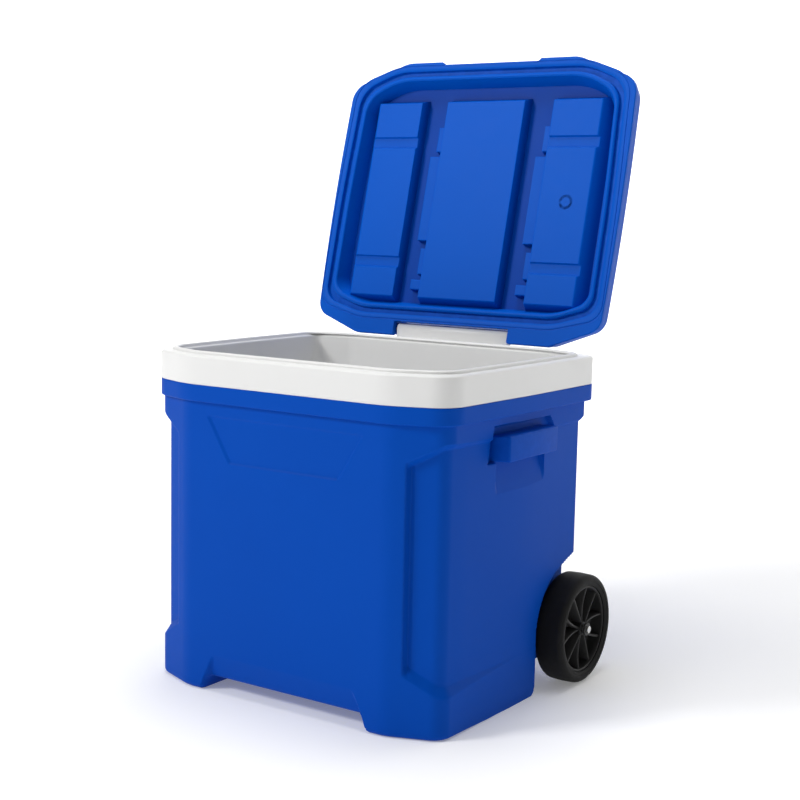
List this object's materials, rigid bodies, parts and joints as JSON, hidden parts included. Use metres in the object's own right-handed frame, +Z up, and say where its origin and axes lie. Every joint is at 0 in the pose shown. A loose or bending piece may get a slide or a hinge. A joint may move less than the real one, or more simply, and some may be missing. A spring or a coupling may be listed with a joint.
{
  "type": "wheeled cooler",
  "caption": "Insulated cooler box on two rear wheels, with a hinged lid standing open, scoop handles on both sides, a swing-out tow handle behind and a drain plug.",
  "frame": {"origin": "on the floor, under the middle of the white rim", "axes": "+X to the right seen from the front, +Y to the back (wheels and hinge), +Z up"},
  "size_m": [0.544, 0.5382, 0.8851],
  "materials": {
    "shell_blue": "fine moulded texture",
    "lid_blue": "satin moulded",
    "liner_white": "satin white",
    "foam": "rigid foam",
    "steel": "zinc plated",
    "tyre_black": "matt moulded",
    "wheel_black": "satin moulded",
    "bush_plastic": "natural nylon",
    "handle_black": "satin moulded",
    "grip_black": "soft matt",
    "seal_rubber": "soft matt"
  },
  "bodies": {
    "cooler_body": {"outer_shell": "shell_blue", "inner_liner": "liner_white", "foam_insulation": "foam", "base_fill_plug": "shell_blue", "hinge_pin_right": "steel", "hinge_pin_left": "steel", "wheel_washer_right": "steel", "wheel_washer_left": "steel", "push_nut_right": "steel", "push_nut_left": "steel", "axle_bush_right": "bush_plastic", "axle_bush_left": "bush_plastic", "axle": "steel", "tow_bracket_right": "handle_black", "tow_bracket_left": "handle_black", "tow_pivot_pins": "steel", "tow_bracket_screws": "steel", "drain_fitting": "liner_white", "drain_gasket": "seal_rubber", "drain_nut": "liner_white"},
    "lid": {"lid_top_shell": "lid_blue", "lid_inner_panel": "lid_blue", "lid_foam": "foam", "lid_fill_plug": "lid_blue"},
    "wheel_right": {"tyre_right": "tyre_black", "wheel_right": "wheel_black"},
    "wheel_left": {"tyre_left": "tyre_black", "wheel_left": "wheel_black"},
    "tow_handle": {"tow_arm_right": "handle_black", "tow_arm_left": "handle_black", "tow_grip": "grip_black", "tow_grip_screws": "steel"},
    "drain_plug": {"drain_plug": "liner_white", "drain_plug_seal": "seal_rubber"}
  },
  "joints": [
    {"name": "lid_hinge", "type": "hinge", "parent": "cooler_body", "child": "lid", "pos_m": [0, 0.206, 0.475], "axis": [1, 0, 0], "range_deg": [0, 104]},
    {"name": "wheel_right_spin", "type": "hinge", "parent": "cooler_body", "child": "wheel_right", "pos_m": [0.246, 0.15, 0.077], "axis": [1, 0, 0], "continuous": true},
    {"name": "wheel_left_spin", "type": "hinge", "parent": "cooler_body", "child": "wheel_left", "pos_m": [-0.246, 0.15, 0.077], "axis": [1, 0, 0], "continuous": true},
    {"name": "tow_handle_swing", "type": "hinge", "parent": "cooler_body", "child": "tow_handle", "pos_m": [0, 0.208, 0.35], "axis": [1, 0, 0], "range_deg": [0, 140]},
    {"name": "drain_plug_turn", "type": "hinge", "parent": "cooler_body", "child": "drain_plug", "pos_m": [-0.241, -0.12, 0.05], "axis": [-1, 0, 0], "range_deg": [0, 90]}
  ]
}
